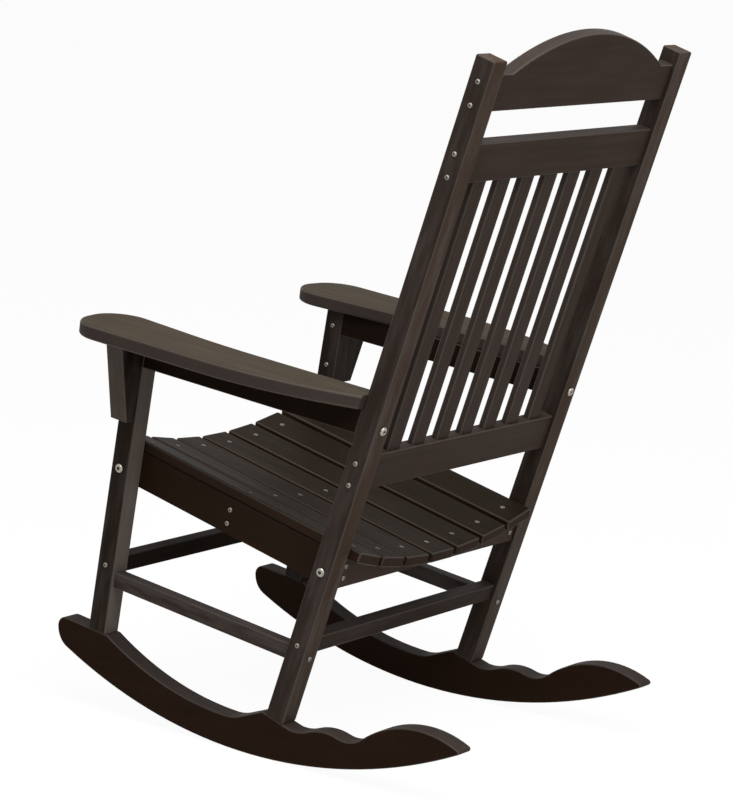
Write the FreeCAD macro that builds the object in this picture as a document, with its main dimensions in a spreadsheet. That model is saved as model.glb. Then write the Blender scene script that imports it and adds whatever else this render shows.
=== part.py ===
import FreeCAD, Part
import math
import os
import re
import Sketcher

# A high-backed porch rocker made of plastic lumber boards and screws.
# Millimetres and degrees, +Z up. The sitter looks along -Y, and left and right are
# the sitter's own: left is +X. The origin is on the floor, under the middle of the
# chair's box. The chair stands still, with its weight over the point where the
# runners touch the floor.

V = FreeCAD.Vector
doc = FreeCAD.newDocument("rocking_chair")

# Driving dimensions: name, value, what it is
SIZES = [
    ("frame_width", 600, "across the outer faces of the posts, legs and runners"),
    ("lumber", 38, "thickness, across the chair, of runners, legs, posts and arm rails"),
    ("leg_deep", 38, "front leg, front to back"),
    ("post_deep", 38, "back post, front to back"),
    ("board", 25, "thickness of the rails, the stretchers and the seat frame"),
    ("edge_round", 3, "eased edges of the boards"),
    ("fit_gap", 0.3, "clearance round mortised ends and in screw holes"),

    ("rocker_radius", 968, "curve of the runners' bottom"),
    ("rest_tilt", 3.8, "how far the chair rolls forward from square on its runners"),
    ("contact_setback", 15.16, "floor contact behind the middle of the box"),
    ("tail_reach", 363, "runner's tail behind the lowest point of the curve"),
    ("tail_tall", 8, "height of the tail's end"),
    ("tail_end_bow", 0.6, "radius of the tail's rounded end, as a share of its height"),
    ("tail_hump_radius", 185, "hump before the tail"),
    ("rear_dip_radius", 54, "hollow between the hump and the bead"),
    ("bead_radius", 96, "low bead behind the post"),
    ("post_dip_radius", 71, "hollow behind the post's seat"),
    ("hump_start", 201.8, "start of the hump behind the post's foot"),
    ("hump_start_drop", 12.8, "its drop below the post's foot"),
    ("bead_end", 152.8, "end of the bead behind the post's foot"),
    ("bead_end_drop", 18.3, "its drop below the post's foot"),
    ("bead_start", 88.8, "start of the bead behind the post's foot"),
    ("bead_start_drop", 17.3, "its drop below the post's foot"),
    ("post_seat_back", 17, "flat on the runner behind the post"),
    ("post_seat_front", 8.5, "flat on the runner before the post"),
    ("front_dip_radius", 76, "small hollow before the post's seat"),
    ("front_dip_end", 58.2, "rear end of that hollow before the post's foot"),
    ("front_dip_end_drop", 12.7, "its drop below the post's foot"),
    ("front_dip_start", 87.2, "front end of that hollow before the post's foot"),
    ("front_dip_start_drop", 16, "its drop below the post's foot"),
    ("scallop_radius", 577, "long hollow between the leg and the post"),
    ("leg_seat_back", 6, "flat on the runner behind the leg"),
    ("nose_reach", 76, "front of the nose before the leg's foot, along the seat of the leg"),
    ("nose_back", 2, "how far the nose's front leads back at its bottom"),
    ("nose_top_radius", 17, "round of the nose's top"),
    ("nose_radius", 40, "round of the nose's bottom"),

    ("leg_foot_y", -434.3, "leg's front corner on the runner, from the curve's lowest point"),
    ("leg_foot_tall", 72.1, "height of the runner under that corner"),
    ("leg_lean", 11.3, "lean of the front legs"),
    ("post_foot_y", -33.2, "post's front corner on the runner"),
    ("post_foot_tall", 78.3, "height of the runner under that corner"),
    ("post_lean", 20.8, "lean of the back posts"),
    ("post_tall", 1202, "length of the back posts"),

    ("crest_bottom", 1114, "bottom of the crest rail, up the post"),
    ("crest_shoulder", 63.5, "height of the crest rail at its ends"),
    ("crest_shoulder_wide", 37, "flat shoulder at each end of the crest rail"),
    ("crest_rise", 63, "rise of the crest rail's arch above its shoulders"),
    ("upper_rail_bottom", 991.3, "bottom of the upper back rail, up the post"),
    ("upper_rail_tall", 67.7, "height of the upper back rail"),
    ("lower_rail_bottom", 441, "bottom of the lower back rail, up the post"),
    ("lower_rail_tall", 65, "height of the lower back rail"),
    ("back_slats", 7, "number of back slats"),
    ("back_slat_wide", 36, "width of a back slat"),
    ("back_slat_thick", 14, "thickness of a back slat"),
    ("back_slat_round", 4.5, "rounded edges of a back slat"),
    ("mortise_deep", 15, "depth of the back slats' mortises"),

    ("arm_height", 606.6, "top of the arm, up the post"),
    ("arm_slope", 8.87, "fall of the arm to the back"),
    ("arm_thick", 25, "thickness of the arm"),
    ("arm_round", 5, "rounded edges of the arm"),
    ("arm_bend", 336, "bend of the arm's inner edge before the post"),
    ("arm_bend_radius", 1370, "radius of that bend"),
    ("arm_long", 606, "inner front corner of the arm before the post"),
    ("arm_nose_in", 30, "how far the inner edge has come in at that corner"),
    ("arm_nose_radius", 60, "round of that corner"),
    ("arm_nose_lead", 21, "lead of that corner on the outer front corner"),
    ("arm_corner_radius", 64, "round of that corner"),
    ("arm_wide", 120, "reach of the arm from the post's inner face"),
    ("arm_taper_long", 292.6, "start of the curve of the arm's outer edge before the post"),
    ("arm_rear_wide", 51, "width of the arm at the post"),
    ("arm_rear_flat", 1.6, "straight end of that curve at the post"),
    ("arm_rail_tall", 45, "height of the arm rail"),
    ("bracket_tall", 140.7, "height of the arm bracket, down from the arm"),
    ("bracket_toe", 22, "bracket's reach at its bottom"),
    ("bracket_reach", 62, "bracket's reach under the arm"),

    ("front_stretcher_up", 109, "bottom of the front stretcher, up the leg"),
    ("front_stretcher_tall", 31, "height of the front stretcher"),
    ("rear_stretcher_up", 129.5, "bottom of the rear stretcher, up the post"),
    ("rear_stretcher_tall", 30.5, "height of the rear stretcher"),
    ("side_stretcher_up", 115, "top of the side stretcher, up the leg"),
    ("side_stretcher_slope", 10.8, "fall of the side stretcher to the back"),
    ("side_stretcher_tall", 28, "height of the side stretcher"),

    ("seat_up_leg", 304, "front seat bolt, up the leg"),
    ("seat_up_post", 285.5, "rear seat bolt, up the post"),
    ("front_bolt_drop", 9.3, "front seat bolt below the slats' top"),
    ("rear_bolt_drop", 5.8, "rear seat bolt below the slats' top"),
    ("slat_overhang", 27, "seat slats' ends past the cross rails"),
    ("seat_slats", 7, "number of seat slats"),
    ("seat_slat_gap", 9.6, "gap from seat slat to seat slat"),
    ("seat_side_gap", 3.7, "from that gap beside the outer slat to the legs"),
    ("seat_slat_thick", 20, "thickness of a seat slat"),
    ("seat_slat_round", 4, "rounded edges of a seat slat"),
    ("dish_radius", 827, "hollow of the seat across the chair"),
    ("seat_frame_drop", 37.3, "bottom of the seat's cross rails below the slats' top"),
    ("side_rail_drop", 42.3, "bottom of the seat's side rails below the slats' top"),

    ("screw_shank", 5, "screw's shank"),
    ("screw_head", 9, "screw's head"),
    ("screw_head_tall", 2.6, "height of a screw's head"),
    ("screw_long", 65, "screws through posts and legs"),
    ("screw_short", 50, "screws of the bracket and the seat frame"),
    ("screw_middle", 35, "screws into the middle rail of the seat frame"),
    ("screw_slat", 29, "screws of the seat slats"),
    ("screw_arm", 35, "screws that hold the arm"),
    ("screw_runner", 85, "screws from the runners into the feet"),
    ("bolt_shank", 8, "bolt's shank"),
    ("bolt_head", 16, "bolt's head"),
    ("bolt_head_tall", 4.6, "height of a bolt's head"),
    ("bolt_seat", 60, "length of the seat bolts"),
    ("bolt_arm", 80, "length of the arm bolts"),
    ("head_rim", 0.3, "straight rim of a head, as a share of its height"),
    ("socket_wide", 0.24, "corner radius of the drive socket, as a share of the head"),
    ("socket_deep", 1.6, "depth of the drive socket in a head"),
    ("rail_screw_inset", 8, "lower screw above a rail's bottom"),
    ("rail_screw_step", 40, "from that screw to the one above it"),
    ("bracket_screw_low", 34, "lower bracket screw above the bracket's bottom"),
    ("bracket_screw_drop", 29.7, "upper bracket screw below the bracket's top"),
    ("frame_screw_low", 17.5, "lower seat frame screw above the frame's bottom"),
    ("frame_screw_high", 39.5, "upper seat frame screw above the frame's bottom"),
    ("middle_screw_low", 12.8, "lower middle rail screw above the frame's bottom"),
    ("middle_screw_high", 38.3, "upper middle rail screw above the frame's bottom"),
    ("middle_screw_ahead", 6, "those screws before the middle of that rail"),
    ("side_screw_rise", 3, "screw of a side stretcher above the middle of the stretcher"),
    ("arm_bolt_drop", 2.5, "arm bolt below the middle of the arm rail"),
    ("arm_screw_first", 110, "rearmost arm screw before the post"),
    ("arm_screw_step", 160, "from arm screw to arm screw"),
    ("arm_bore", 27, "counterbore of the arm screws"),
    ("foot_grip", 34, "runner left under a foot for its screw"),
]

sheet = doc.addObject("Spreadsheet::Sheet", "Size")
size_names = set()
for row, (name, number, meaning) in enumerate(SIZES, start=1):
    sheet.set("A%d" % row, name)
    sheet.set("B%d" % row, str(number))
    sheet.set("C%d" % row, meaning)
    sheet.setAlias("B%d" % row, name)
    size_names.add(name)
doc.recompute()

# What follows from the sizes: places and angles, each bound to the sheet
spots = doc.addObject("App::VarSet", "Spot")
spot_names = set()


def bound(text):
    """The expression with every size and place named in full."""
    def full(match):
        word = match.group()
        if word in size_names:
            return "Size." + word
        if word in spot_names:
            return "Spot." + word
        return word
    return re.sub(r"[A-Za-z_]\w*", full, text)


def value(text):
    return float(sheet.evalExpression(bound(text)))


def derive(name, text, kind="App::PropertyFloat"):
    spots.addProperty(kind, name)
    spots.setExpression(name, bound(text))
    spot_names.add(name)
    doc.recompute()


def turned(angle):
    """A turn about the chair's cross axis, given as how far a board leans back."""
    return "rotation(vector(1; 0; 0); -(%s))" % angle


def put(frame, x="0", y="0", z="0", turn="rotation(vector(0; 0; 1); 0)"):
    """A place in a frame: x across the chair, y to the back, z up the board."""
    return "%s * placement(vector(%s; %s; %s); %s)" % (frame, x, y, z, turn)


def derive_frame(name, text):
    derive(name, text, "App::PropertyPlacement")


def up_the_board(level, depth, upright, across):
    """Height on an upright where the line at this depth of a level board meets it."""
    ly, lz, slope = level
    uy, uz, lean = upright
    rise = "(%s - %s) * sin(%s) + (%s - %s) * cos(%s)" % (ly, uy, slope, lz, uz, slope)
    return "((%s) + %s + (%s) * sin(%s - %s)) / cos(%s - %s)" % (
        depth, rise, across, lean, slope, lean, slope)


def along_the_board(level, depth, upright, across):
    """Distance along a level board, at this depth, where it meets an upright's face."""
    ly, lz, slope = level
    uy, uz, lean = upright
    ahead = "(%s - %s) * cos(%s) - (%s - %s) * sin(%s)" % (ly, uy, lean, lz, uz, lean)
    return "((%s) - (%s) + (%s) * sin(%s - %s)) / cos(%s - %s)" % (
        across, ahead, depth, lean, slope, lean, slope)


def on_curve(y):
    """Height of the runners' bottom curve, this far from its lowest point."""
    return "rocker_radius - sqrt(rocker_radius^2 - (%s)^2)" % y


# Frames of the leaning boards. Each one's z runs up its board, or up from it
derive("inside", "frame_width / 2 - lumber")
derive("outside", "frame_width / 2")
derive("middle", "frame_width / 2 - lumber / 2")
derive_frame("chair", "placement(vector(0; contact_setback; rocker_radius); "
             + turned("-rest_tilt") + ") * placement(vector(0; 0; -rocker_radius); "
             + turned("0") + ")")
derive("leg_foot_z", on_curve("leg_foot_y") + " + leg_foot_tall")
derive("post_foot_z", on_curve("post_foot_y") + " + post_foot_tall")
derive_frame("leg", put("chair", "0", "leg_foot_y", "leg_foot_z", turned("leg_lean")))
derive_frame("post", put("chair", "0", "post_foot_y", "post_foot_z", turned("post_lean")))
LEG = ("leg_foot_y", "leg_foot_z", "leg_lean")
POST = ("post_foot_y", "post_foot_z", "post_lean")

derive("arm_y", "post_foot_y + arm_height * sin(post_lean)")
derive("arm_z", "post_foot_z + arm_height * cos(post_lean)")
derive_frame("arm", put("chair", "0", "arm_y", "arm_z", turned("arm_slope")))
derive("arm_narrows", "arm_wide - arm_rear_wide")
derive("arm_taper", "(arm_taper_long^2 - arm_narrows^2) / (2 * arm_taper_long)")
derive("arm_taper_tangent", "sqrt(arm_narrows^2 + arm_taper^2) - arm_rear_flat")
derive("arm_taper_radius", "arm_taper_tangent / tan(atan(arm_narrows / arm_taper) / 2)")
ARM = ("arm_y", "arm_z", "arm_slope")

derive("side_y", "leg_foot_y + leg_deep * cos(leg_lean) + side_stretcher_up * sin(leg_lean)")
derive("side_z", "leg_foot_z - leg_deep * sin(leg_lean) + side_stretcher_up * cos(leg_lean)")
derive_frame("side", put("chair", "0", "side_y", "side_z", turned("side_stretcher_slope")))
SIDE = ("side_y", "side_z", "side_stretcher_slope")

# The seat lies along the line from its front bolts to its rear bolts
derive("front_bolt_y", "leg_foot_y + leg_deep / 2 * cos(leg_lean) + seat_up_leg * sin(leg_lean)")
derive("front_bolt_z", "leg_foot_z - leg_deep / 2 * sin(leg_lean) + seat_up_leg * cos(leg_lean)")
derive("rear_bolt_y", "post_foot_y + post_deep / 2 * cos(post_lean) + seat_up_post * sin(post_lean)")
derive("rear_bolt_z", "post_foot_z - post_deep / 2 * sin(post_lean) + seat_up_post * cos(post_lean)")
derive("bolt_span", "sqrt((rear_bolt_y - front_bolt_y)^2 + (rear_bolt_z - front_bolt_z)^2)")
derive("bolt_rise", "front_bolt_drop - rear_bolt_drop")
derive("seat_slope", "(atan((front_bolt_z - rear_bolt_z) / (rear_bolt_y - front_bolt_y))"
       " + asin(bolt_rise / bolt_span)) / 1deg")
derive("rail_span", "sqrt(bolt_span^2 - bolt_rise^2)")
derive("front_rail", "slat_overhang + board / 2")
derive("rear_rail", "front_rail + rail_span")
derive("slat_long", "rear_rail + front_rail")
derive_frame("seat", put("chair", "0", "front_bolt_y", "front_bolt_z", turned("seat_slope"))
             + " * placement(vector(0; -front_rail; front_bolt_drop); rotation(vector(0; 0; 1); 0))")


def origin_plane(body, role):
    for feature in body.Origin.OriginFeatures:
        if feature.Role == role:
            return feature


def arc_between(start, end, bend):
    """The arc of radius |bend| from start to end, turning left where bend is positive."""
    radius = abs(bend)
    half = (end - start) / 2
    left = V(-half.y, half.x, 0).normalize() * math.copysign(1, bend)
    centre = start + half + left * math.sqrt(radius ** 2 - half.Length ** 2)
    first, last = (start, end) if bend > 0 else (end, start)
    turn = [math.atan2(spot.y - centre.y, spot.x - centre.x) for spot in (first, last)]
    if turn[1] < turn[0]:
        turn[1] += 2 * math.pi
    return Part.ArcOfCircle(Part.Circle(centre, V(0, 0, 1), radius), turn[0], turn[1])


def pin(sketch, kind, line, end, text):
    """Holds one coordinate of a corner at an expression."""
    if text == "0":
        axis = -2 if kind == "DistanceX" else -1
        sketch.addConstraint(Sketcher.Constraint("PointOnObject", line, end, axis))
        return
    number = sketch.addConstraint(Sketcher.Constraint(kind, -1, 1, line, end, value(text)))
    sketch.setExpression("Constraints[%d]" % number, bound(text))


def outline(body, role, corners):
    """A closed sketch. Each corner is (across, up, bend): bend is empty for a straight
    side to the next corner, or the radius of an arc, positive where it turns left."""
    sketch = body.newObject("Sketcher::SketchObject", body.Name + "_outline")
    sketch.AttachmentSupport = [(origin_plane(body, role), "")]
    sketch.MapMode = "FlatFace"
    places = [V(value(across), value(up), 0) for across, up, bend in corners]
    ends = []
    for number, (across, up, bend) in enumerate(corners):
        start, end = places[number], places[(number + 1) % len(places)]
        if bend:
            sketch.addGeometry(arc_between(start, end, value(bend)), False)
            ends.append((1, 2) if value(bend) > 0 else (2, 1))
        else:
            sketch.addGeometry(Part.LineSegment(start, end), False)
            ends.append((1, 2))
    for number, (across, up, bend) in enumerate(corners):
        after = (number + 1) % len(corners)
        sketch.addConstraint(Sketcher.Constraint(
            "Coincident", number, ends[number][1], after, ends[after][0]))
        pin(sketch, "DistanceX", number, ends[number][0], across)
        pin(sketch, "DistanceY", number, ends[number][0], up)
        if bend:
            radius = sketch.addConstraint(Sketcher.Constraint("Radius", number, abs(value(bend))))
            sketch.setExpression("Constraints[%d]" % radius, bound("abs(%s)" % bend))
    return sketch


# Sketch plane of each direction in which a board is padded, and whether the pad turns round
PLANES = {"x": ("YZ_Plane", False), "y": ("XZ_Plane", True), "z": ("XY_Plane", False)}
AXES = {"x": V(1, 0, 0), "y": V(0, 1, 0), "z": V(0, 0, 1)}


def shaped_board(name, place, axis, corners, length, rounding, edges="outline", rounds=()):
    """A board with this outline, padded along an axis. Each of the rounds is a corner of
    the outline and its radius. After them the board's edges are rounded."""
    role, turn_round = PLANES[axis]
    body = doc.addObject("PartDesign::Body", name + "_body")
    sketch = outline(body, role, corners)
    pad = body.newObject("PartDesign::Pad", body.Name + "_pad")
    pad.Profile = sketch
    pad.Length = value(length)
    pad.setExpression("Length", bound(length))
    pad.Reversed = turn_round
    doc.recompute()
    solid = pad
    for corner, radius in rounds:
        solid = round_corner(body, solid, axis, corner, radius)
    if rounding:
        round_edges(body, solid, axis, rounding, edges)
    body.setExpression("Placement", bound(place))
    return body


def round_corner(body, solid, axis, corner, radius):
    """Rounds the edge that runs along the axis through a corner of the outline."""
    across, up = value(corner[0]), value(corner[1])
    spot = {"x": V(0, across, up), "y": V(across, 0, up), "z": V(across, up, 0)}[axis]
    for number, edge in enumerate(solid.Shape.Edges, start=1):
        offsets = [vertex.Point - spot for vertex in edge.Vertexes]
        if all((offset - AXES[axis] * offset.dot(AXES[axis])).Length < 1e-4 for offset in offsets):
            chosen = "Edge%d" % number
    fillet = body.newObject("PartDesign::Fillet", body.Name + "_corner")
    fillet.Base = (solid, [chosen])
    fillet.setExpression("Radius", bound(radius))
    doc.recompute()
    return fillet


def round_edges(body, solid, axis, rounding, edges):
    """Rounds a board's edges: every one, those along the axis, or those of its outline."""
    chosen = []
    for number, edge in enumerate(solid.Shape.Edges, start=1):
        run = edge.Vertexes[-1].Point - edge.Vertexes[0].Point
        rise = abs(run.dot(AXES[axis]))
        if edges == "every" or (edges == "outline" and rise < 1e-6) or (
                edges == "along" and abs(rise - run.Length) < 1e-6 and rise > 1e-6):
            chosen.append("Edge%d" % number)
    fillet = body.newObject("PartDesign::Fillet", body.Name + "_rounding")
    fillet.Base = (solid, chosen)
    fillet.setExpression("Radius", bound(rounding))
    doc.recompute()


def rectangle(low, high, bottom, top):
    return [(low, bottom, ""), (high, bottom, ""), (high, top, ""), (low, top, "")]


def board(name, place, axis, low, high, bottom, top, length, rounding="edge_round",
          edges="along"):
    return shaped_board(name, place, axis, rectangle(low, high, bottom, top), length,
                        rounding, edges)


nodes = {}
holes = {}


def keep(name, solid):
    nodes[name] = solid
    holes[name] = []


SIDES = {"left": 1, "right": -1}


def inner_x(side, wide):
    """Where a board of this width starts, if it lies against the inner face line."""
    return "inside" if side > 0 else "-inside - (%s)" % wide


# Runners
def on_foot(foot, n):
    """A point of a post's or leg's seat on the runner, this far behind its front."""
    y, z, lean = foot
    return ("%s + (%s) * cos(%s)" % (y, n, lean), "%s - (%s) * sin(%s)" % (z, n, lean))


def runner_corners():
    nose_top = on_foot(LEG, "-nose_reach")
    heel = nose_top[0] + " + nose_back"
    return [
        (heel, on_curve(heel), "rocker_radius"),
        ("tail_reach", on_curve("tail_reach"), "tail_tall * tail_end_bow"),
        ("tail_reach", on_curve("tail_reach") + " + tail_tall", "tail_hump_radius"),
        ("post_foot_y + hump_start", "post_foot_z - hump_start_drop", "-rear_dip_radius"),
        ("post_foot_y + bead_end", "post_foot_z - bead_end_drop", "bead_radius"),
        ("post_foot_y + bead_start", "post_foot_z - bead_start_drop", "-post_dip_radius"),
        on_foot(POST, "post_deep + post_seat_back") + ("",),
        on_foot(POST, "-post_seat_front") + ("",),
        ("post_foot_y - front_dip_end", "post_foot_z - front_dip_end_drop", "-front_dip_radius"),
        ("post_foot_y - front_dip_start", "post_foot_z - front_dip_start_drop", "-scallop_radius"),
        on_foot(LEG, "leg_deep + leg_seat_back") + ("",),
        nose_top + ("",),
    ]


for side_name, side in SIDES.items():
    corners = runner_corners()
    nose_bottom, *_, nose_top = corners
    keep("runner_" + side_name, shaped_board(
        "runner_" + side_name, put("chair", inner_x(side, "lumber")), "x", corners,
        "lumber", "edge_round", edges="every",
        rounds=((nose_top, "nose_top_radius"), (nose_bottom, "nose_radius"))))

# Legs, cut off at the top by the underside of the arm, and posts, cut square
derive("leg_top_front", up_the_board(ARM, "-arm_thick", LEG, "0"))
derive("leg_top_back", up_the_board(ARM, "-arm_thick", LEG, "leg_deep"))
derive("bracket_foot", "leg_top_front - bracket_tall")
leg_corners = [("0", "0", ""), ("leg_deep", "0", ""), ("leg_deep", "leg_top_back", ""),
               ("0", "leg_top_front", "")]
for side_name, side in SIDES.items():
    across = inner_x(side, "lumber")
    keep("front_leg_" + side_name, shaped_board(
        "front_leg_" + side_name, put("leg", across), "x", leg_corners, "lumber", "edge_round"))
    keep("back_post_" + side_name, board(
        "back_post_" + side_name, put("post", across), "z", "0", "lumber", "0", "post_deep",
        "post_tall", edges="every"))


# Rails of the back, between the posts and centred on their depth
def cross_board(name, frame, up, tall, deep):
    """A straight board from side to side, centred on the depth of what carries it."""
    start = "(%s - board) / 2" % deep
    keep(name, board(name, put(frame, "-inside", start, up), "x", "0", "board", "0", tall,
                     "2 * inside"))


cross_board("back_upper_rail", "post", "upper_rail_bottom", "upper_rail_tall", "post_deep")
cross_board("back_lower_rail", "post", "lower_rail_bottom", "lower_rail_tall", "post_deep")
cross_board("rear_stretcher", "post", "rear_stretcher_up", "rear_stretcher_tall", "post_deep")
cross_board("front_stretcher", "leg", "front_stretcher_up", "front_stretcher_tall", "leg_deep")

derive("arch_half", "inside - crest_shoulder_wide")
derive("arch_radius", "(arch_half^2 + crest_rise^2) / (2 * crest_rise)")
crest_corners = [
    ("-inside", "0", ""), ("inside", "0", ""), ("inside", "crest_shoulder", ""),
    ("arch_half", "crest_shoulder", "arch_radius"), ("-arch_half", "crest_shoulder", ""),
    ("-inside", "crest_shoulder", ""),
]
keep("back_crest_rail", shaped_board(
    "back_crest_rail", put("post", "0", "(post_deep - board) / 2", "crest_bottom"), "y",
    crest_corners, "board", "edge_round"))

# Back slats, evenly spaced between the posts, their ends in mortises in the two rails
derive("back_slat_pitch", "(2 * inside + back_slat_wide) / (back_slats + 1)")
derive("back_slat_foot", "lower_rail_bottom + lower_rail_tall - mortise_deep")
derive("back_slat_long", "upper_rail_bottom + mortise_deep - back_slat_foot - fit_gap")


def back_slat_shape(name, number, grow, up, length):
    """A back slat, or the mortise that takes it, wider by a clearance."""
    centre = "(%d - (back_slats - 1) / 2) * back_slat_pitch" % number
    half = "(back_slat_wide / 2 + %s)" % grow
    thick = "(back_slat_thick / 2 + %s)" % grow
    return board(name, put("post", centre, "post_deep / 2", up), "z", "-" + half, half,
                 "-" + thick, thick, length, "back_slat_round + " + grow)


for number in range(int(value("back_slats"))):
    name = "back_slat_%d" % (number + 1)
    keep(name, back_slat_shape(name, number, "0", "back_slat_foot", "back_slat_long"))
    for rail, up in (("back_lower_rail", "back_slat_foot"),
                     ("back_upper_rail", "upper_rail_bottom - 1")):
        deep = "mortise_deep + 1"
        holes[rail].append(back_slat_shape(
            "%s_mortise_%d" % (rail, number + 1), number, "fit_gap", up, deep))


# Seat slats, side by side from leg to leg round a shallow hollow
derive("slat_step", "2 / seat_slats * asin((inside - seat_side_gap) / dish_radius) / 1deg")
derive("seat_slat_wide", "2 * dish_radius * tan(slat_step / 2) - seat_slat_gap")


def slat_angle(number):
    return "((%d - (seat_slats - 1) / 2) * slat_step)" % number


def slat_place(number, along, sunk="0"):
    """A place on a seat slat's middle line, this far along it and sunk below its top."""
    angle = slat_angle(number)
    radius = "(dish_radius + %s)" % sunk
    return put("seat", "%s * sin(%s)" % (radius, angle), along,
               "dish_radius - %s * cos(%s)" % (radius, angle),
               "rotation(vector(0; 1; 0); -(%s))" % angle)


for number in range(int(value("seat_slats"))):
    name = "seat_slat_%d" % (number + 1)
    keep(name, board(name, slat_place(number, "0"), "y", "-seat_slat_wide / 2",
                     "seat_slat_wide / 2", "-seat_slat_thick", "0", "slat_long",
                     "seat_slat_round", edges="every"))


# Seat frame: three cross rails and two side rails, their tops fitted under the slats
def under_slat(number, x_share):
    """A point of a slat's underside: its own edge (-1 or 1) or its middle (0)."""
    angle = slat_angle(number)
    half = "(%d) * seat_slat_wide / 2" % x_share
    return (
        "(dish_radius + seat_slat_thick) * sin(%s) + %s * cos(%s)" % (angle, half, angle),
        "dish_radius - (dish_radius + seat_slat_thick) * cos(%s) + %s * sin(%s)" % (angle, half, angle),
    )


def last_slat_height(x):
    """Height of the outer slat's underside, this far from the chair's middle."""
    angle = slat_angle(int(value("seat_slats")) - 1)
    middle_x, middle_z = under_slat(int(value("seat_slats")) - 1, 0)
    return "%s + (%s - (%s)) * tan(%s)" % (middle_z, x, middle_x, angle)


def dished_corners(half_wide):
    """Outline of a cross rail: a flat bottom, and a top that follows the slats."""
    corners = [("-(%s)" % half_wide, "-seat_frame_drop", ""), (half_wide, "-seat_frame_drop", "")]
    corners.append((half_wide, last_slat_height(half_wide), ""))
    last = int(value("seat_slats")) - 1
    for number in range(last, -1, -1):
        for edge in (1, -1):
            beyond = (number, edge) in ((last, 1), (0, -1))
            if not beyond:
                corners.append(under_slat(number, edge) + ("",))
    corners.append(("-(%s)" % half_wide, last_slat_height(half_wide), ""))
    return corners


def seat_cross_rail(name, along, half_wide):
    keep(name, shaped_board(name, put("seat", "0", "(%s) - board / 2" % along), "y",
                            dished_corners(half_wide), "board", ""))


seat_cross_rail("seat_front_rail", "front_rail", "inside")
seat_cross_rail("seat_rear_rail", "rear_rail", "inside")
seat_cross_rail("seat_middle_rail", "slat_long / 2", "inside - board")

for side_name, side in SIDES.items():
    near = "%d * (inside - board)" % side
    far = "%d * inside" % side
    corners = [(near, "-side_rail_drop", ""), (far, "-side_rail_drop", ""),
               (far, last_slat_height("inside"), ""), (near, last_slat_height("(inside - board)"), "")]
    name = "seat_side_rail_" + side_name
    keep(name, shaped_board(name, put("seat", "0", "front_rail + board / 2"), "y", corners,
                            "rail_span - board", ""))


# Arms, each on a rail between the leg and the post and on a bracket beside the leg
def arm_corners(side):
    """Outline of an arm from above: down the inner edge, across the front, up the outer.
    The second list has its rounded corners, each with its radius."""
    shape = [("0", "arm_thick", ""), ("0", "-arm_bend", "arm_bend_radius"),
             ("-arm_nose_in", "-arm_long", "arm_nose_radius"),
             ("arm_wide", "arm_nose_lead - arm_long", "arm_corner_radius"),
             ("arm_wide", "-arm_taper", "arm_taper_radius"),
             ("arm_rear_wide", "0", ""), ("arm_rear_wide", "arm_thick", "")]
    corners = []
    rounds = []
    for across, along, radius in shape:
        corner = ("%d * (inside + %s)" % (side, across), along, "")
        corners.append(corner)
        if radius:
            rounds.append((corner, radius))
    return corners, rounds


def trim(name, frame, x, y, z, wide, deep, tall):
    """A block of space that another board takes up, to cut a board off against it."""
    block = doc.addObject("Part::Box", name)
    for side_of_block, text in (("Length", wide), ("Width", deep), ("Height", tall)):
        block.setExpression(side_of_block, bound(text))
    block.setExpression("Placement", bound(put(frame, x, y, z)))
    return block


def rail_between(name, frame, level, across, top, tall, wide):
    """A board from the back of the leg to the front of the post, its ends cut to fit."""
    corners = []
    for depth, faces in ((top + " - " + tall, ("leg", "post")), (top, ("post", "leg"))):
        for face in faces:
            upright, reach = (LEG, "leg_deep") if face == "leg" else (POST, "0")
            corners.append((along_the_board(level, depth, upright, reach), depth, ""))
    keep(name, shaped_board(name, put(frame, across), "x", corners, wide, "edge_round"))


for side_name, side in SIDES.items():
    name = "arm_" + side_name
    corners, rounds = arm_corners(side)
    keep(name, shaped_board(name, put("arm", "0", "0", "-arm_thick"), "z", corners,
                            "arm_thick", "arm_round", edges="every", rounds=rounds))
    holes[name].append(trim(
        name + "_end", "post", "%d * outside - arm_wide" % side, "0", "arm_height - 2 * arm_thick",
        "2 * arm_wide", "4 * arm_thick", "4 * arm_thick"))
    rail_between("arm_rail_" + side_name, "arm", ARM, inner_x(side, "lumber"), "-arm_thick",
                 "arm_rail_tall", "lumber")
    rail_between("side_stretcher_" + side_name, "side", SIDE,
                 "%d * middle - board / 2" % side, "0", "side_stretcher_tall", "board")

    name = "arm_bracket_" + side_name
    bracket_corners = [
        ("%d * outside" % side, "0", ""), ("%d * (outside + bracket_toe)" % side, "0", ""),
        ("%d * (outside + bracket_reach)" % side, "bracket_tall", ""),
        ("%d * outside" % side, "bracket_tall", "")]
    keep(name, shaped_board(name, put("leg", "0", "0", "bracket_foot"), "y", bracket_corners,
                            "leg_deep", "edge_round"))
    holes[name].append(trim(
        name + "_top", "arm", "%d * outside - arm_wide" % side, "-2 * arm_long", "-arm_thick",
        "2 * arm_wide", "2 * arm_long", "2 * arm_thick"))


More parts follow.
